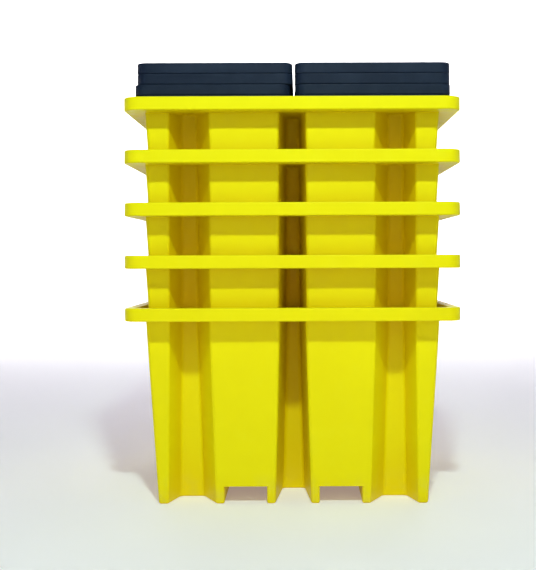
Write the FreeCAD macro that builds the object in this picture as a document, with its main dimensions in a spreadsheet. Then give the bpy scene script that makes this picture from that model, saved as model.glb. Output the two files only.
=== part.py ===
import FreeCAD, Part
import os
import Sketcher

# A stack of five nesting spill pallets: square polyethylene sumps that sit one inside the
# other, with their deck gratings piled in four heaps on the uppermost sump.
# Millimetres. +Z is up, the front faces -Y, and the origin is on the ground under the
# middle of the lowest sump.

DIMENSIONS = {
    # rim of the sump
    "rim_width": 1546,          # outside of the square rim, both ways
    "rim_corner": 70,           # plan radius of the rim's corners
    "rim_height": 61,           # height of the rim's outer face
    "lip_width": 50,            # flat top of the rim, outside the deck recess
    "ledge_depth": 35,          # shelf that carries the gratings, below the rim's top
    "rim_round": 6,             # edges along the rim
    # body of the sump, measured at the ground
    "sump_height": 924,
    "ground_width": 1265,
    "ceiling_depth": 48.5,      # closed top of the recesses, below the rim's top
    "wall": 7,
    "floor_thickness": 8,
    "leg_round": 16,            # upright corners of legs and pillars
    "recess_round": 21,         # upright corners at the back of the recesses
    "ceiling_round": 12,        # where a recess meets its ceiling
    "foot_round": 10,           # edges that meet the ground
    # recess in the middle of each side, measured at the ground
    "middle_edge": 84,          # edge of the opening, from the middle of the side
    "middle_depth": 295,
    "flank_middle_depth": 270,  # the same on the left and right sides
    "middle_flare": 0.104,      # sideways lean of the flanks per unit of depth
    # two recesses between pillars and legs on each side, measured at the ground
    "pillar_edge": 361,         # the opening's two edges at the front and back,
    "leg_edge": 586.5,          # from the middle of the side
    "flank_pillar_edge": 190,   # the same two edges on the left and right
    "flank_leg_edge": 400,
    "side_depth": 141.5,
    "pillar_flare": 0.51,
    "leg_flare": 0.31,
    # draft in degrees: every upright face leans so that the body widens upwards
    "face_draft": 3.35,
    "middle_draft": 1.90,
    "pillar_draft": 2.98,
    "leg_draft": 1.88,
    # fork pockets, running from front to back
    "fork_near": 124,
    "fork_far": 323,
    "fork_height": 82,
    # hollow column in the middle of the sump
    "column_top": 64,
    "column_low": 100,
    # nesting
    "nest_pitch": 241,
    # gratings
    "grating_side": 718,
    "grating_thickness": 49.5,
    "grating_corner": 47,
    "grating_round": 5,
    "slot_length": 99,
    "slot_width": 39,
    "slot_columns": 6,
    "slot_rows": 13,
    "slot_border": 30,          # solid band around the slots
    # piles of gratings: the seated layer is centred, the loose ones lie a little askew
    "pile_spread": 361.5,       # middle of a seated grating, from the middle of the sump
    "front_left_second": -5.5,  # sideways shift of the second layer of each pile
    "front_left_upper": 4.5,      # and of the layers above it
    "front_right_second": 12.5,
    "front_right_upper": 10.5,
    "rear_left_second": 3,
    "rear_left_upper": -4,
    "rear_right_second": 8,
    "rear_right_upper": 5,
}

SUMPS = 5
LAYERS = 4
REACH = 20                      # how far a cutting shape passes what it cuts
CLOSE = 0.01                    # levels and slopes that differ by less than this are equal
SLACK = 1                       # room for rounding errors where edges are picked by place

RIM_HALF = "Dims.rim_width / 2"
GROUND_HALF = "Dims.ground_width / 2"
RIM_UNDER = "(Dims.sump_height - Dims.rim_height)"
LEDGE = "(Dims.sump_height - Dims.ledge_depth)"
CEILING = "(Dims.sump_height - Dims.ceiling_depth)"

doc = FreeCAD.newDocument("nested_spill_pallets")


def make_sheet():
    """Spreadsheet with one named cell for each driving dimension."""
    dims = doc.addObject("Spreadsheet::Sheet", "Dims")
    for row, (name, size) in enumerate(DIMENSIONS.items(), start=1):
        dims.set(f"A{row}", name)
        dims.set(f"B{row}", str(size))
        dims.setAlias(f"B{row}", name)
    doc.recompute()
    return dims


sheet = make_sheet()


def value(expression):
    """Number that an expression on the spreadsheet gives now."""
    return float(sheet.evalExpression(expression.replace("Dims.", "")))


# ---- sketches and features shared by the sub-parts --------------------------------------

def origin_item(body, role):
    """One of the body's own origin planes or axes."""
    return next(item for item in body.Origin.OriginFeatures if item.Role == role)


def sketch_on(body, name, role, offset="0"):
    """Empty sketch on an origin plane of the body, moved along the plane's normal."""
    sketch = body.newObject("Sketcher::SketchObject", name)
    sketch.AttachmentSupport = [(origin_item(body, role), "")]
    sketch.MapMode = "FlatFace"
    sketch.setExpression("AttachmentOffset.Base.z", offset)
    return sketch


def bind(sketch, kind, line, expression):
    """Place the start of a line, along one axis, by an expression."""
    number = sketch.addConstraint(Sketcher.Constraint(kind, -1, 1, line, 1, value(expression)))
    sketch.setExpression(f"Constraints[{number}]", expression)


def draw_polygon(sketch, corners):
    """Closed polygon whose corners are pairs of expressions."""
    places = [FreeCAD.Vector(value(x), value(y), 0) for x, y in corners]
    first = sketch.GeometryCount
    count = len(corners)
    for index in range(count):
        sketch.addGeometry(Part.LineSegment(places[index], places[(index + 1) % count]))
    for index, (x, y) in enumerate(corners):
        line = first + index
        following = first + (index + 1) % count
        sketch.addConstraint(Sketcher.Constraint("Coincident", line, 2, following, 1))
        bind(sketch, "DistanceX", line, x)
        bind(sketch, "DistanceY", line, y)


def rectangle(left, front, right, back):
    """Corners of a rectangle, anticlockwise."""
    return [(left, front), (right, front), (right, back), (left, back)]


def square(half):
    """Corners of a square around the origin."""
    return rectangle(f"-({half})", f"-({half})", half, half)


def pad(body, name, sketch, length):
    """Pad a sketch upwards."""
    feature = body.newObject("PartDesign::Pad", name)
    feature.Profile = sketch
    feature.setExpression("Length", length)
    return feature


def pocket_through(body, name, sketch):
    """Cut a sketch right through the body, both ways."""
    feature = body.newObject("PartDesign::Pocket", name)
    feature.Profile = sketch
    feature.Type = "ThroughAll"
    feature.Midplane = True
    return feature


def round_edges(body, name, wanted, radius):
    """Round the edges of the body's last feature that the test accepts."""
    doc.recompute()
    base = body.Tip
    picked = [f"Edge{number}" for number, edge in enumerate(base.Shape.Edges, start=1) if wanted(edge)]
    feature = body.newObject("PartDesign::Fillet", name)
    feature.Base = (base, picked)
    feature.setExpression("Radius", radius)
    return feature


def low_end(edge):
    return min(edge.Vertexes, key=lambda vertex: vertex.Z)


def rise(edge):
    """Height that an edge climbs."""
    heights = [vertex.Z for vertex in edge.Vertexes]
    return max(heights) - min(heights)


def spread(point):
    """How far out a point lies, square to the nearest side."""
    return max(abs(point.X), abs(point.Y))


def lies_at(edge, level):
    """True for an edge that runs along a level."""
    return all(abs(vertex.Z - value(level)) < CLOSE for vertex in edge.Vertexes)


# ---- sump -------------------------------------------------------------------------------

def recess(inset, depth, left, right):
    """
    Corners of one recess in the front side, at the ground, from its left to its right.
    Each flank is its place on the body's face and its lean per unit of depth.
    The inset is the thickness that the wall adds around the recess.
    """
    corners = []
    for (edge, lean), outward in ((left, "-1"), (right, "1")):
        shift = f"{outward} * {inset} * sqrt(1 + {lean} ^ 2)"
        for distance in (inset, f"({depth} + {inset})"):
            corners.append((f"{edge} + {shift} + {lean} * {distance}", f"{distance} - {GROUND_HALF}"))
    left_mouth, left_back, right_mouth, right_back = corners
    return [left_mouth, left_back, right_back, right_mouth]


def one_side(inset, pillar, leg, middle_depth):
    """Corners along one side of the body at the ground, from its left corner onwards."""
    corner = f"{inset} - {GROUND_HALF}"
    middle = "Dims.middle_edge"
    left = recess(inset, "Dims.side_depth", ("-" + leg, "Dims.leg_flare"),
                  ("-" + pillar, "(-Dims.pillar_flare)"))
    centre = recess(inset, middle_depth, ("-" + middle, "Dims.middle_flare"),
                    (middle, "(-Dims.middle_flare)"))
    right = recess(inset, "Dims.side_depth", (pillar, "Dims.pillar_flare"),
                   (leg, "(-Dims.leg_flare)"))
    return [(corner, corner)] + left + centre + right


def body_outline(inset):
    """Corners of the whole body at the ground: front, right, back and left sides."""
    front = one_side(inset, "Dims.pillar_edge", "Dims.leg_edge", "Dims.middle_depth")
    flank = one_side(inset, "Dims.flank_pillar_edge", "Dims.flank_leg_edge", "Dims.flank_middle_depth")
    corners = []
    for quarter_turns, side in enumerate((front, flank, front, flank)):
        for x, y in side:
            for _ in range(quarter_turns):
                x, y = f"-({y})", x
            corners.append((x, y))
    return corners


def draft(body, name, lean, angle):
    """Tilt the upright faces whose normals lean by a given slope from the nearest axis."""
    doc.recompute()
    base = body.Tip

    def has_lean(face):
        normal = face.normalAt(0, 0)
        small, large = sorted((abs(normal.x), abs(normal.y)))
        upright = large > abs(normal.z)
        return upright and abs(small / large - value(lean)) < CLOSE

    picked = [f"Face{number}" for number, face in enumerate(base.Shape.Faces, start=1) if has_lean(face)]
    feature = body.newObject("PartDesign::Draft", name)
    feature.Base = (base, picked)
    feature.NeutralPlane = (origin_item(body, "XY_Plane"), [""])
    feature.setExpression("Angle", angle)
    feature.Reversed = True


def tapered_block(body, height, inset):
    """The body's block with its twelve recesses, narrowing towards the ground."""
    sketch = sketch_on(body, body.Name + "_outline", "XY_Plane")
    draw_polygon(sketch, body_outline(inset))
    pad(body, body.Name + "_block", sketch, height)
    draft(body, body.Name + "_face_draft", "0", "Dims.face_draft")
    for part in ("middle", "pillar", "leg"):
        draft(body, f"{body.Name}_{part}_draft", f"Dims.{part}_flare", f"Dims.{part}_draft")


def round_uprights(body, inset):
    """Round the upright edges, first those deep in the recesses, then those on the faces."""
    face = value(f"{GROUND_HALF} - {inset}")

    def is_upright(edge):
        return rise(edge) > value("Dims.sump_height") / 2

    def in_recess(edge):
        return is_upright(edge) and spread(low_end(edge)) < face - SLACK

    def on_face(edge):
        return is_upright(edge) and spread(low_end(edge)) > face - SLACK

    round_edges(body, body.Name + "_recess_round", in_recess, f"Dims.recess_round + {inset}")
    round_edges(body, body.Name + "_leg_round", on_face, f"Dims.leg_round - {inset}")


def fork_tunnels(body, inset):
    """Cut the two fork tunnels, or make room for the ridges that roof them."""
    sketch = sketch_on(body, body.Name + "_fork_outline", "XZ_Plane")
    near = f"Dims.fork_near - {inset}"
    far = f"Dims.fork_far + {inset}"
    roof = f"Dims.fork_height + {inset}"
    draw_polygon(sketch, rectangle(near, f"-{REACH}", far, roof))
    draw_polygon(sketch, rectangle(f"-({far})", f"-{REACH}", f"-({near})", roof))
    pocket_through(body, body.Name + "_fork_tunnels", sketch)


def lay_floor(body):
    """Raise the bottom of the inner space by the floor's thickness."""
    sketch = sketch_on(body, "floor_outline", "XY_Plane", "Dims.floor_thickness")
    draw_polygon(sketch, square(GROUND_HALF))
    feature = body.newObject("PartDesign::Pocket", "floor")
    feature.Profile = sketch
    feature.setExpression("Length", "Dims.floor_thickness")


def round_feet(body):
    """Round the uprights of the fork pockets' mouths, then every edge on the ground."""
    def at_mouth(edge):
        foot = low_end(edge)
        from_face = abs(abs(foot.Y) - value(GROUND_HALF))
        climbs = SLACK < rise(edge) < value("Dims.fork_height") + SLACK
        return abs(foot.Z) < CLOSE and climbs and from_face < SLACK

    round_edges(body, "mouth_round", at_mouth, "Dims.foot_round")

    def stands_in(strip):
        """Test for the edges on the ground in the left, middle or right strip of feet."""
        def on_ground(edge):
            across = edge.CenterOfMass.x / (value("Dims.fork_near") + SLACK)
            return lies_at(edge, "0") and max(-1, min(1, int(across))) == strip
        return on_ground

    for name, strip in (("left", -1), ("middle", 0), ("right", 1)):
        round_edges(body, name + "_feet_round", stands_in(strip), "Dims.foot_round")


def cone_cut(body, name, low_radius, high_radius, height):
    """Take a tapered round hole out of the middle of the body."""
    feature = body.newObject("PartDesign::SubtractiveCone", name)
    feature.AttachmentSupport = [(origin_item(body, "XY_Plane"), "")]
    feature.MapMode = "FlatFace"
    feature.setExpression("Radius1", low_radius)
    feature.setExpression("Radius2", high_radius)
    feature.setExpression("Height", height)


def add_rim(body):
    """Flat plate over the whole sump, with a skirt that hangs outside the body."""
    plate = sketch_on(body, "rim_plate_outline", "XY_Plane", CEILING)
    draw_polygon(plate, square(RIM_HALF))
    pad(body, "rim_plate", plate, "Dims.ceiling_depth")

    def under_plate(edge):
        return lies_at(edge, CEILING) and spread(low_end(edge)) < value(RIM_HALF) - SLACK

    round_edges(body, "ceiling_round", under_plate, "Dims.ceiling_round")

    body_half = f"({GROUND_HALF} + {RIM_UNDER} * tan(Dims.face_draft * 1deg))"
    ring = sketch_on(body, "rim_skirt_outline", "XY_Plane", RIM_UNDER)
    draw_polygon(ring, square(RIM_HALF))
    draw_polygon(ring, square(f"{body_half} - {SLACK}"))
    pad(body, "rim_skirt", ring, "Dims.rim_height - Dims.ceiling_depth")

    def at_corner(edge):
        lowest = low_end(edge)
        return rise(edge) > SLACK and min(abs(lowest.X), abs(lowest.Y)) > value(RIM_HALF) - SLACK

    round_edges(body, "rim_corners", at_corner, "Dims.rim_corner")


def outer_form():
    """Outer form of the sump, solid inside but for the hollow under its column."""
    body = doc.addObject("PartDesign::Body", "sump_outer")
    tapered_block(body, CEILING, "0")
    round_uprights(body, "0")
    add_rim(body)
    fork_tunnels(body, "0")
    round_feet(body)
    cone_cut(body, "column_hollow", "Dims.column_low - Dims.wall", "Dims.column_top - Dims.wall",
             f"{LEDGE} - Dims.wall")
    return body


def inner_form():
    """The space inside the sump: the tank between the walls and the deck recess over it."""
    body = doc.addObject("PartDesign::Body", "sump_inner")
    tapered_block(body, LEDGE, "Dims.wall")
    round_uprights(body, "Dims.wall")
    lay_floor(body)
    fork_tunnels(body, "Dims.wall")
    cone_cut(body, "column", "Dims.column_low", "Dims.column_top", LEDGE)
    deck = sketch_on(body, "deck_outline", "XY_Plane", LEDGE)
    draw_polygon(deck, square(f"{RIM_HALF} - Dims.lip_width"))
    pad(body, "deck_recess", deck, f"Dims.ledge_depth + {REACH}")

    def at_deck_corner(edge):
        lowest = low_end(edge)
        deck_half = value(f"{RIM_HALF} - Dims.lip_width")
        return rise(edge) > SLACK and min(abs(lowest.X), abs(lowest.Y)) > deck_half - SLACK

    round_edges(body, "deck_corners", at_deck_corner, "Dims.rim_corner - Dims.lip_width")
    return body


def is_rim_edge(edge):
    """True for the edges along the rim: two loops on its top and one underneath."""
    outer_loop = spread(edge.Vertexes[0]) > value(RIM_HALF) - value("Dims.lip_width") - SLACK
    on_top = lies_at(edge, "Dims.sump_height")
    underneath = lies_at(edge, RIM_UNDER)
    return outer_loop and (on_top or underneath)


def sump_form():
    """Hollow sump: the outer form less the inner one, with its rim's edges rounded."""
    shell = doc.addObject("Part::Cut", "sump_shell")
    shell.Base = outer_form()
    shell.Tool = inner_form()
    doc.recompute()
    rounded = doc.addObject("Part::Fillet", "sump_form")
    rounded.Base = shell
    radius = value("Dims.rim_round")
    rounded.Edges = [(number, radius, radius)
                     for number, edge in enumerate(shell.Shape.Edges, start=1) if is_rim_edge(edge)]
    doc.recompute()
    return rounded


# ---- grating ----------------------------------------------------------------------------

def grating_form():
    """Square deck grating with rounded edges and a grid of slots right through it."""
    body = doc.addObject("PartDesign::Body", "grating_form")
    half = "Dims.grating_side / 2"
    outline = sketch_on(body, "grating_outline", "XY_Plane")
    draw_polygon(outline, square(half))
    pad(body, "grating_slab", outline, "Dims.grating_thickness")
    round_edges(body, "grating_corners", lambda edge: rise(edge) > SLACK, "Dims.grating_corner")
    round_edges(body, "grating_edges", lambda edge: rise(edge) < SLACK, "Dims.grating_round")

    start = f"Dims.slot_border - {half}"
    slot = sketch_on(body, "slot_outline", "XY_Plane")
    draw_polygon(slot, rectangle(start, start, f"{start} + Dims.slot_length", f"{start} + Dims.slot_width"))
    cut = pocket_through(body, "slot", slot)
    grid = body.newObject("PartDesign::LinearPattern", "slot_grid")
    grid.Originals = [cut]
    grid.Direction = (origin_item(body, "X_Axis"), [""])
    grid.Direction2 = (origin_item(body, "Y_Axis"), [""])
    field = "Dims.grating_side - 2 * Dims.slot_border"
    grid.setExpression("Length", f"{field} - Dims.slot_length")
    grid.setExpression("Length2", f"{field} - Dims.slot_width")
    grid.setExpression("Occurrences", "Dims.slot_columns")
    grid.setExpression("Occurrences2", "Dims.slot_rows")
    body.Tip = grid
    doc.recompute()
    return body


# ---- assembly ---------------------------------------------------------------------------

def place_copy(form, label, x, y, z):
    """One more piece of the same form, placed by three expressions."""
    piece = doc.addObject("PartDesign::Body", label)
    piece.BaseFeature = form
    for axis, expression in zip("xyz", (x, y, z)):
        piece.setExpression(f"Placement.Base.{axis}", expression)
    return piece


def nest_sumps():
    """Five sumps, each one nest pitch above the last."""
    form = sump_form()
    return [place_copy(form, f"sump_{number + 1}", "0", "0", f"{number} * Dims.nest_pitch")
            for number in range(SUMPS)]


def pile_gratings():
    """Four piles of gratings on the ledge of the uppermost sump."""
    form = grating_form()
    deck = f"{SUMPS - 1} * Dims.nest_pitch + {LEDGE}"
    gratings = []
    for row, back in (("front", -1), ("rear", 1)):
        for side, right in (("left", -1), ("right", 1)):
            pile = f"{row}_{side}"
            for layer in range(LAYERS):
                shift = ("0", f"Dims.{pile}_second", f"Dims.{pile}_upper", f"Dims.{pile}_upper")[layer]
                gratings.append(place_copy(
                    form, f"grating_{pile}_{layer + 1}",
                    f"{right} * Dims.pile_spread + {shift}",
                    f"{back} * Dims.pile_spread",
                    f"{deck} + {layer} * Dims.grating_thickness"))
    return gratings


def check_document(pieces):
    """Stop if any object failed to compute or any piece isn't one sound solid."""
    for item in doc.Objects:
        if "Invalid" in item.State or "Error" in item.State:
            raise RuntimeError(f"{item.Label} did not compute: {item.State}")
    for piece in pieces:
        if piece.Shape.isNull() or not piece.Shape.isValid() or len(piece.Shape.Solids) != 1:
            raise RuntimeError(f"{piece.Label} is not one valid solid")


def write_parts(pieces):
    """Write each piece to a STEP file with its label as the name."""
    os.makedirs("parts", exist_ok=True)
    for piece in pieces:
        piece.Shape.Solids[0].exportStep(f"parts/{piece.Label}.step")


pieces = nest_sumps() + pile_gratings()
doc.recompute()
check_document(pieces)
write_parts(pieces)
for piece in pieces:
    print(piece.Label, round(piece.Shape.Volume / 1e6, 3), "litres of material")
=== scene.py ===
import math

import bpy
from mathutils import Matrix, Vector


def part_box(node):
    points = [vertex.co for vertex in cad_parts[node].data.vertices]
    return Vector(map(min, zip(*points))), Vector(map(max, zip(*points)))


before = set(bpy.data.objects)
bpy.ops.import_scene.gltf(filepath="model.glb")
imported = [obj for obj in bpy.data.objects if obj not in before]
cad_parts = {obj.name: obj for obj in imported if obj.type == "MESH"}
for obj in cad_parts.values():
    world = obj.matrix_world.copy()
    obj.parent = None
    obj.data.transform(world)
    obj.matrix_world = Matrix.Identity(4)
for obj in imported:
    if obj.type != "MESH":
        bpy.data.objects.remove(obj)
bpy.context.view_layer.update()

# Looks for the nested spill pallets: moulded yellow polyethylene on the sumps, moulded
# black polyethylene on the gratings, a white studio and a level camera. Metres.

SUMPS = sorted(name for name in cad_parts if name.startswith("sump_"))
GRATINGS = sorted(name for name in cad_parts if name.startswith("grating_"))
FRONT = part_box("sump_1")[0][1]
NEST_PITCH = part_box("sump_2")[0][2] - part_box("sump_1")[0][2]

# Camera: level, in front of the rims. The shift and roll are the photograph's own.
CAMERA_DISTANCE = 4.268
CAMERA_HEIGHT = 1.156
CAMERA_SIDE = 0.035
LENS = 59.4                      # millimetres, on Blender's 36 mm film
SHIFT = (-0.0563, -0.0491)
ROLL = math.radians(0.2)

# Studio: a round wall that stays behind the camera in every view.
WALL_RADIUS = 16.0
WALL_HEIGHT = 10.0
WALL_BEND = 3.0                  # radius of the curve between floor and wall
WALL_SIDES = 96
BEND_STEPS = 16
DULL_WHITE = (0.86, 0.86, 0.86, 1)
CLEAN_WHITE = (0.90, 0.90, 0.90, 1)
STUDIO_GLOW = (0.17, 0.15, 0.20, 1)    # evens out the yellow light the sumps throw on the floor
WORLD_STRENGTH = 0.03

# Plastics
CLEAN_YELLOW = (0.86, 0.78, 0.001, 1)
DEEP_YELLOW = (0.83, 0.73, 0.001, 1)
PALE_YELLOW = (0.87, 0.81, 0.012, 1)
# colour of the painted shade in hollows between walls
ORANGE_SHADE = (0.80, 0.60, 0.001, 1)
DUST = (0.60, 0.56, 0.20, 1)
BLACK = (0.007, 0.014, 0.032, 1)
WORN_BLACK = (0.018, 0.030, 0.056, 1)
SUMP_SHINE = 0.1
GRATING_SHINE = 0.12
GRIME_HEIGHT = 0.16
FOOT_SHADE_BLUR = 0.02                 # half the height over which the painted shade at the foot of the stack fades out
HOLLOW_SHADE_REACH = 0.3                 # how near a wall must be for the orange painted shade in hollows


# ---- node helpers -----------------------------------------------------------------------

class Nodes:
    """Short way to write a material's node tree."""

    def __init__(self, name):
        self.material = bpy.data.materials.new(name)
        self.material.use_nodes = True
        self.tree = self.material.node_tree
        self.shader = self.tree.nodes["Principled BSDF"]
        self.place = self.add("ShaderNodeTexCoord").outputs["Object"]

    def add(self, kind, **settings):
        node = self.tree.nodes.new(kind)
        for key, value in settings.items():
            setattr(node, key, value)
        return node

    def link(self, source, target):
        self.tree.links.new(source, target)

    def feed(self, socket, value):
        """Link a socket, or set it when the value is a plain number or colour."""
        if isinstance(value, bpy.types.NodeSocket):
            self.link(value, socket)
        else:
            socket.default_value = value

    def math(self, operation, a, b=0.0, clamp=False):
        node = self.add("ShaderNodeMath", operation=operation, use_clamp=clamp)
        self.feed(node.inputs[0], a)
        self.feed(node.inputs[1], b)
        return node.outputs[0]

    def span(self, value, low, high, to_low=0.0, to_high=1.0):
        """Map a value from one span to another, smoothly and clamped."""
        node = self.add("ShaderNodeMapRange", interpolation_type="SMOOTHSTEP")
        for socket, setting in zip(node.inputs, (value, low, high, to_low, to_high)):
            self.feed(socket, setting)
        return node.outputs["Result"]

    def mix(self, factor, a, b, blend="MIX"):
        node = self.add("ShaderNodeMix", data_type="RGBA", blend_type=blend)
        self.feed(node.inputs["Factor"], factor)
        self.feed(node.inputs["A"], a)
        self.feed(node.inputs["B"], b)
        return node.outputs["Result"]

    def noise(self, scale, detail=3.0, roughness=0.55, stretch=(1, 1, 1), seed=0.0):
        """Noise in the object's own space; scale is in cycles per metre."""
        mapping = self.add("ShaderNodeMapping")
        self.link(self.place, mapping.inputs["Vector"])
        mapping.inputs["Scale"].default_value = stretch
        mapping.inputs["Location"].default_value = (seed, seed * 0.7, seed * 0.3)
        node = self.add("ShaderNodeTexNoise")
        self.link(mapping.outputs["Vector"], node.inputs["Vector"])
        node.inputs["Scale"].default_value = scale
        node.inputs["Detail"].default_value = detail
        node.inputs["Roughness"].default_value = roughness
        return node.outputs["Fac"]

    def height(self):
        """Height above the ground when the object is at rest."""
        split = self.add("ShaderNodeSeparateXYZ")
        self.link(self.place, split.inputs["Vector"])
        return split.outputs["Z"]

    def openness(self, reach):
        """How open the surface is to its surroundings within a reach in metres."""
        node = self.add("ShaderNodeAmbientOcclusion", samples=8)
        node.inputs["Distance"].default_value = reach
        return node.outputs["AO"]

    def bump(self, height, depth, strength=1.0, below=None):
        """Bump from a height field; depth is the relief in metres."""
        node = self.add("ShaderNodeBump")
        node.inputs["Strength"].default_value = strength
        node.inputs["Distance"].default_value = depth
        self.link(height, node.inputs["Height"])
        if below:
            self.link(below, node.inputs["Normal"])
        return node.outputs["Normal"]


# ---- materials --------------------------------------------------------------------------

def yellow_tone(nodes, seed):
    """Clouded yellow, with a paler bloom in patches."""
    cloud = nodes.span(nodes.noise(2.3, 4, 0.6, seed=seed), 0.35, 0.7)
    colour = nodes.mix(nodes.math("MULTIPLY", cloud, 0.5), CLEAN_YELLOW, DEEP_YELLOW)
    bloom = nodes.span(nodes.noise(7.0, 5, 0.6, seed=seed + 11), 0.52, 0.78)
    return nodes.mix(nodes.math("MULTIPLY", bloom, 0.35), colour, PALE_YELLOW)


def nesting_scuffs(nodes, seed):
    """Where the plastic is scuffed upright, by sumps sliding into one another."""
    streak = nodes.noise(60, 3, 0.6, stretch=(1, 1, 0.06), seed=seed + 5)
    patch = nodes.span(nodes.noise(3.1, 2, seed=seed + 2), 0.45, 0.65)
    return nodes.math("MULTIPLY", nodes.span(streak, 0.60, 0.74), patch)


def foot_grime(nodes, level, seed):
    """Where dust clings: in patches, close above the feet."""
    low = nodes.span(level, 0.0, GRIME_HEIGHT, 1.0, 0.0)
    patch = nodes.span(nodes.noise(14, 5, 0.65, seed=seed + 8), 0.42, 0.68)
    return nodes.math("MULTIPLY", low, patch)


def shade_tone(nodes, level, colour):
    """Painted shade: deeper yellow on each sump's lowest nest pitch, which shows only at the foot
    of the stack, and orange where nearby walls close the surface in (ambient occlusion), standing
    in for light bounced between yellow walls.
    """
    # painted shade: deeper yellow at the foot of the stack
    painted_foot_shade = nodes.span(level, NEST_PITCH - FOOT_SHADE_BLUR, NEST_PITCH + FOOT_SHADE_BLUR, 1.0, 0.0)
    colour = nodes.mix(nodes.math("MULTIPLY", painted_foot_shade, 0.22), colour, DEEP_YELLOW)
    # painted shade: orange where nearby walls close the surface in
    painted_hollow_shade = nodes.span(nodes.openness(HOLLOW_SHADE_REACH), 0.25, 0.75, 1.0, 0.0)
    return nodes.mix(nodes.math("MULTIPLY", painted_hollow_shade, 0.8), colour, ORANGE_SHADE)


def sump_plastic(number):
    """Satin rotationally moulded yellow polyethylene, for the sump at this place in the stack."""
    nodes = Nodes(f"sump_plastic_{number}")
    seed = 3.7 * number
    level = nodes.math("SUBTRACT", nodes.height(), number * NEST_PITCH)

    scuffed = nesting_scuffs(nodes, seed)
    grime = foot_grime(nodes, level, seed)
    colour = nodes.mix(nodes.math("MULTIPLY", scuffed, 0.25), yellow_tone(nodes, seed), PALE_YELLOW)
    colour = nodes.mix(nodes.math("MULTIPLY", grime, 0.35), colour, DUST)
    # the plastic's own colour with painted shade laid over it: deeper yellow at the foot of the
    # stack, orange in hollows
    nodes.link(shade_tone(nodes, level, colour), nodes.shader.inputs["Base Color"])

    gloss = nodes.span(nodes.noise(18, 4, 0.6, seed=seed + 21), 0.3, 0.7, 0.40, 0.54)
    roughness = nodes.math("ADD", gloss, nodes.math("MULTIPLY", scuffed, 0.15))
    nodes.link(roughness, nodes.shader.inputs["Roughness"])
    peel = nodes.bump(nodes.noise(420, 2, 0.5, seed=seed), 0.0003, 0.35)
    wave = nodes.bump(nodes.noise(9, 2, 0.4, seed=seed + 4), 0.004, 0.20, below=peel)
    nodes.link(wave, nodes.shader.inputs["Normal"])
    nodes.shader.inputs["Specular IOR Level"].default_value = SUMP_SHINE
    return nodes.material


def grating_plastic(number):
    """Satin moulded black polyethylene, worn paler in clouds and scratches."""
    nodes = Nodes(f"grating_plastic_{number}")
    seed = 5.3 * number
    cloud = nodes.span(nodes.noise(6, 5, 0.6, seed=seed), 0.38, 0.72)
    colour = nodes.mix(nodes.math("MULTIPLY", cloud, 0.45), BLACK, WORN_BLACK)
    scratch = nodes.span(nodes.noise(45, 3, 0.6, stretch=(0.08, 1, 1), seed=seed + 9), 0.62, 0.76)
    colour = nodes.mix(nodes.math("MULTIPLY", scratch, 0.3), colour, WORN_BLACK)
    nodes.link(colour, nodes.shader.inputs["Base Color"])
    gloss = nodes.span(nodes.noise(30, 4, 0.6, seed=seed + 3), 0.3, 0.7, 0.42, 0.6)
    nodes.link(gloss, nodes.shader.inputs["Roughness"])
    peel = nodes.bump(nodes.noise(380, 2, 0.5, seed=seed), 0.0003, 0.4)
    nodes.link(peel, nodes.shader.inputs["Normal"])
    nodes.shader.inputs["Specular IOR Level"].default_value = GRATING_SHINE
    return nodes.material


def studio_white():
    """Matt painted studio surface, very faintly uneven."""
    nodes = Nodes("studio_white")
    tone = nodes.span(nodes.noise(1.2, 3), 0.3, 0.7)
    nodes.link(nodes.mix(tone, DULL_WHITE, CLEAN_WHITE), nodes.shader.inputs["Base Color"])
    nodes.shader.inputs["Roughness"].default_value = 0.9
    nodes.shader.inputs["Emission Color"].default_value = STUDIO_GLOW
    nodes.shader.inputs["Emission Strength"].default_value = 1.0
    nodes.link(nodes.bump(nodes.noise(120, 2), 0.0005, 0.2), nodes.shader.inputs["Normal"])
    return nodes.material


def dress(name, material):
    """Give a CAD node its own material."""
    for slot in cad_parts[name].material_slots:
        slot.link = "DATA"
        slot.material = material


# ---- studio -----------------------------------------------------------------------------

def backdrop():
    """Round floor that sweeps up into a wall on every side, in one curved sheet."""
    profile = [(WALL_RADIUS, WALL_HEIGHT)]
    for step in range(BEND_STEPS + 1):
        angle = math.pi / 2 * (1 - step / BEND_STEPS)
        radius = WALL_RADIUS - WALL_BEND + WALL_BEND * math.sin(angle)
        profile.append((radius, WALL_BEND - WALL_BEND * math.cos(angle)))
    points = []
    for radius, z in profile:
        for side in range(WALL_SIDES):
            turn = 2 * math.pi * side / WALL_SIDES
            points.append((radius * math.cos(turn), radius * math.sin(turn), z))
    faces = []
    for row in range(len(profile) - 1):
        for side in range(WALL_SIDES):
            here = row * WALL_SIDES + side
            ahead = row * WALL_SIDES + (side + 1) % WALL_SIDES
            faces.append((here, ahead, ahead + WALL_SIDES, here + WALL_SIDES))
    faces.append(range(len(points) - WALL_SIDES, len(points)))
    mesh = bpy.data.meshes.new("backdrop")
    mesh.from_pydata(points, [], faces)
    mesh.shade_smooth()
    sheet = bpy.data.objects.new("backdrop", mesh)
    bpy.context.scene.collection.objects.link(sheet)
    mesh.materials.append(studio_white())


def place_light(name, data, place, target):
    """Put a light in the scene, facing a point, and return it."""
    light = bpy.data.objects.new(name, data)
    light.location = place
    light.rotation_euler = (Vector(target) - Vector(place)).to_track_quat("-Z", "Y").to_euler()
    bpy.context.scene.collection.objects.link(light)
    return light


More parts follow.
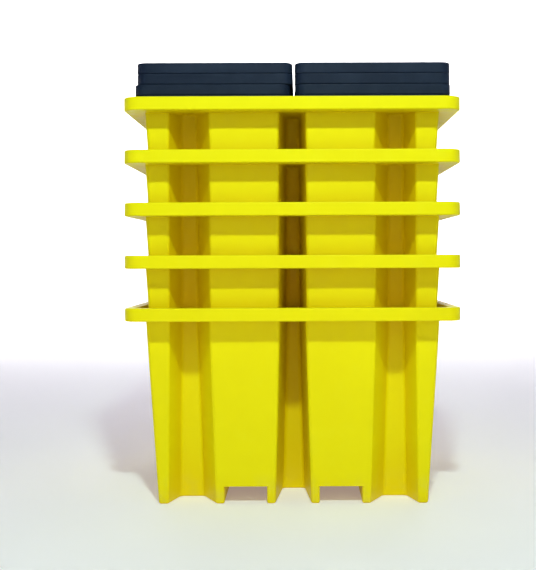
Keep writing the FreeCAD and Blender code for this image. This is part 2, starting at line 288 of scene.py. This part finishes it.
def area_light(name, place, target, size, power, colour=(1, 1, 1)):
    """Flat soft light; its size is its width and height."""
    data = bpy.data.lights.new(name, "AREA")
    data.shape = "RECTANGLE"
    data.size, data.size_y = size
    data.energy = power
    data.color = colour
    place_light(name, data, place, target)


def beam_light(name, place, target, angle, widening, power, colour):
    """Light whose beam is wider than high and fades from its middle to its edge."""
    data = bpy.data.lights.new(name, "SPOT")
    data.spot_size = math.radians(angle)
    data.spot_blend = 1.0
    data.shadow_soft_size = 0.6
    data.energy = power
    data.color = colour
    place_light(name, data, place, target).scale.x = widening


def lights():
    """One key light high in front, a warm level beam from in front and a lit backdrop."""
    area_light("key", place=(0.25, FRONT - 3.5, 4.7), target=(0, 0, 1.0),
               size=(0.3, 0.3), power=188, colour=(0.79, 1.0, 0.88))
    beam_light("warm_fill", place=(0.0, FRONT - 5.0, 0.95), target=(0, FRONT, 0.9),
               angle=23, widening=1.7, power=92, colour=(1.0, 0.52, 0.30))
    area_light("backdrop_wash", place=(0.0, WALL_RADIUS - 4, 9.0), target=(0, WALL_RADIUS, 2.0),
               size=(13.0, 3.0), power=1700)
    world = bpy.data.worlds.new("studio")
    world.use_nodes = True
    background = world.node_tree.nodes["Background"]
    background.inputs["Color"].default_value = (1, 1, 1, 1)
    background.inputs["Strength"].default_value = WORLD_STRENGTH
    bpy.context.scene.world = world


def camera():
    """Level camera in front of the stack, at the middle of its height."""
    data = bpy.data.cameras.new("camera")
    data.lens = LENS
    data.shift_x, data.shift_y = SHIFT
    eye = bpy.data.objects.new("camera", data)
    eye.location = (CAMERA_SIDE, FRONT - CAMERA_DISTANCE, CAMERA_HEIGHT)
    eye.rotation_euler = (math.radians(90), ROLL, 0)
    bpy.context.scene.collection.objects.link(eye)
    bpy.context.scene.camera = eye


for number, name in enumerate(SUMPS):
    dress(name, sump_plastic(number))
for number, name in enumerate(GRATINGS):
    dress(name, grating_plastic(number))
backdrop()
lights()
camera()
bpy.context.scene.view_settings.view_transform = "Standard"
